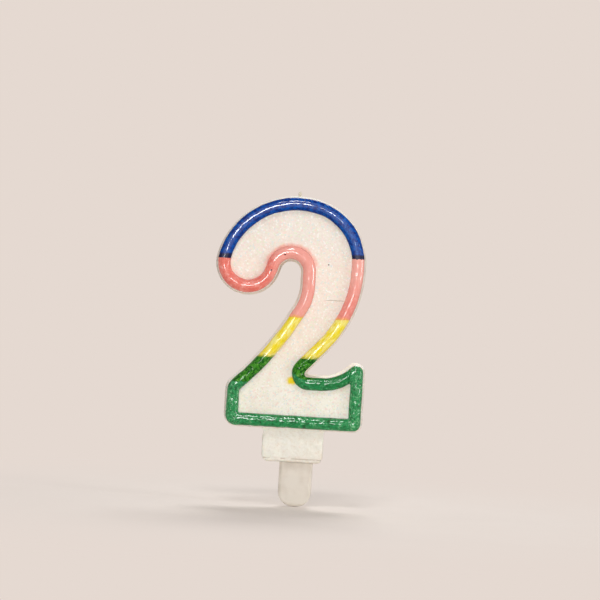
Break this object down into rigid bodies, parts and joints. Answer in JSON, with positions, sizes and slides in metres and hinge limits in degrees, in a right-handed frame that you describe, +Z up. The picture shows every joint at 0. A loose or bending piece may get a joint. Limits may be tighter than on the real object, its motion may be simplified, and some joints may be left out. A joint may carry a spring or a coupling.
{
  "type": "number candle",
  "caption": "Flat moulded wax candle in the shape of a digit, with a raised coloured border along its edge, a wick at the top and a foot held on a flat stake for pushing into a cake.",
  "frame": {"origin": "middle of the stake where it comes out of the foot's underside", "axes": "+Z up along the digit's height, -Y the way the digit faces, +X to the reader's right"},
  "size_m": [0.0538, 0.0126, 0.1084],
  "materials": {
    "white_wax": "white wax with fine glitter, slightly translucent",
    "blue_wax": "glossy blue wax",
    "pink_wax": "glossy coral pink wax",
    "yellow_wax": "glossy yellow wax",
    "green_wax": "glossy green wax",
    "wick_cotton": "waxed cotton",
    "stake_plastic": "smooth white plastic"
  },
  "bodies": {
    "stake": {"stake": "stake_plastic"},
    "candle": {"wax_body": "white_wax", "blue_border": "blue_wax", "pink_border_right": "pink_wax", "yellow_border_right": "yellow_wax", "green_border": "green_wax", "yellow_border_left": "yellow_wax", "pink_border_hook": "pink_wax", "wick": "wick_cotton"}
  },
  "joints": [
    {"name": "candle_lift", "type": "slide", "parent": "stake", "child": "candle", "axis": [0, 0, 1], "range_m": [0, 0.018]}
  ]
}
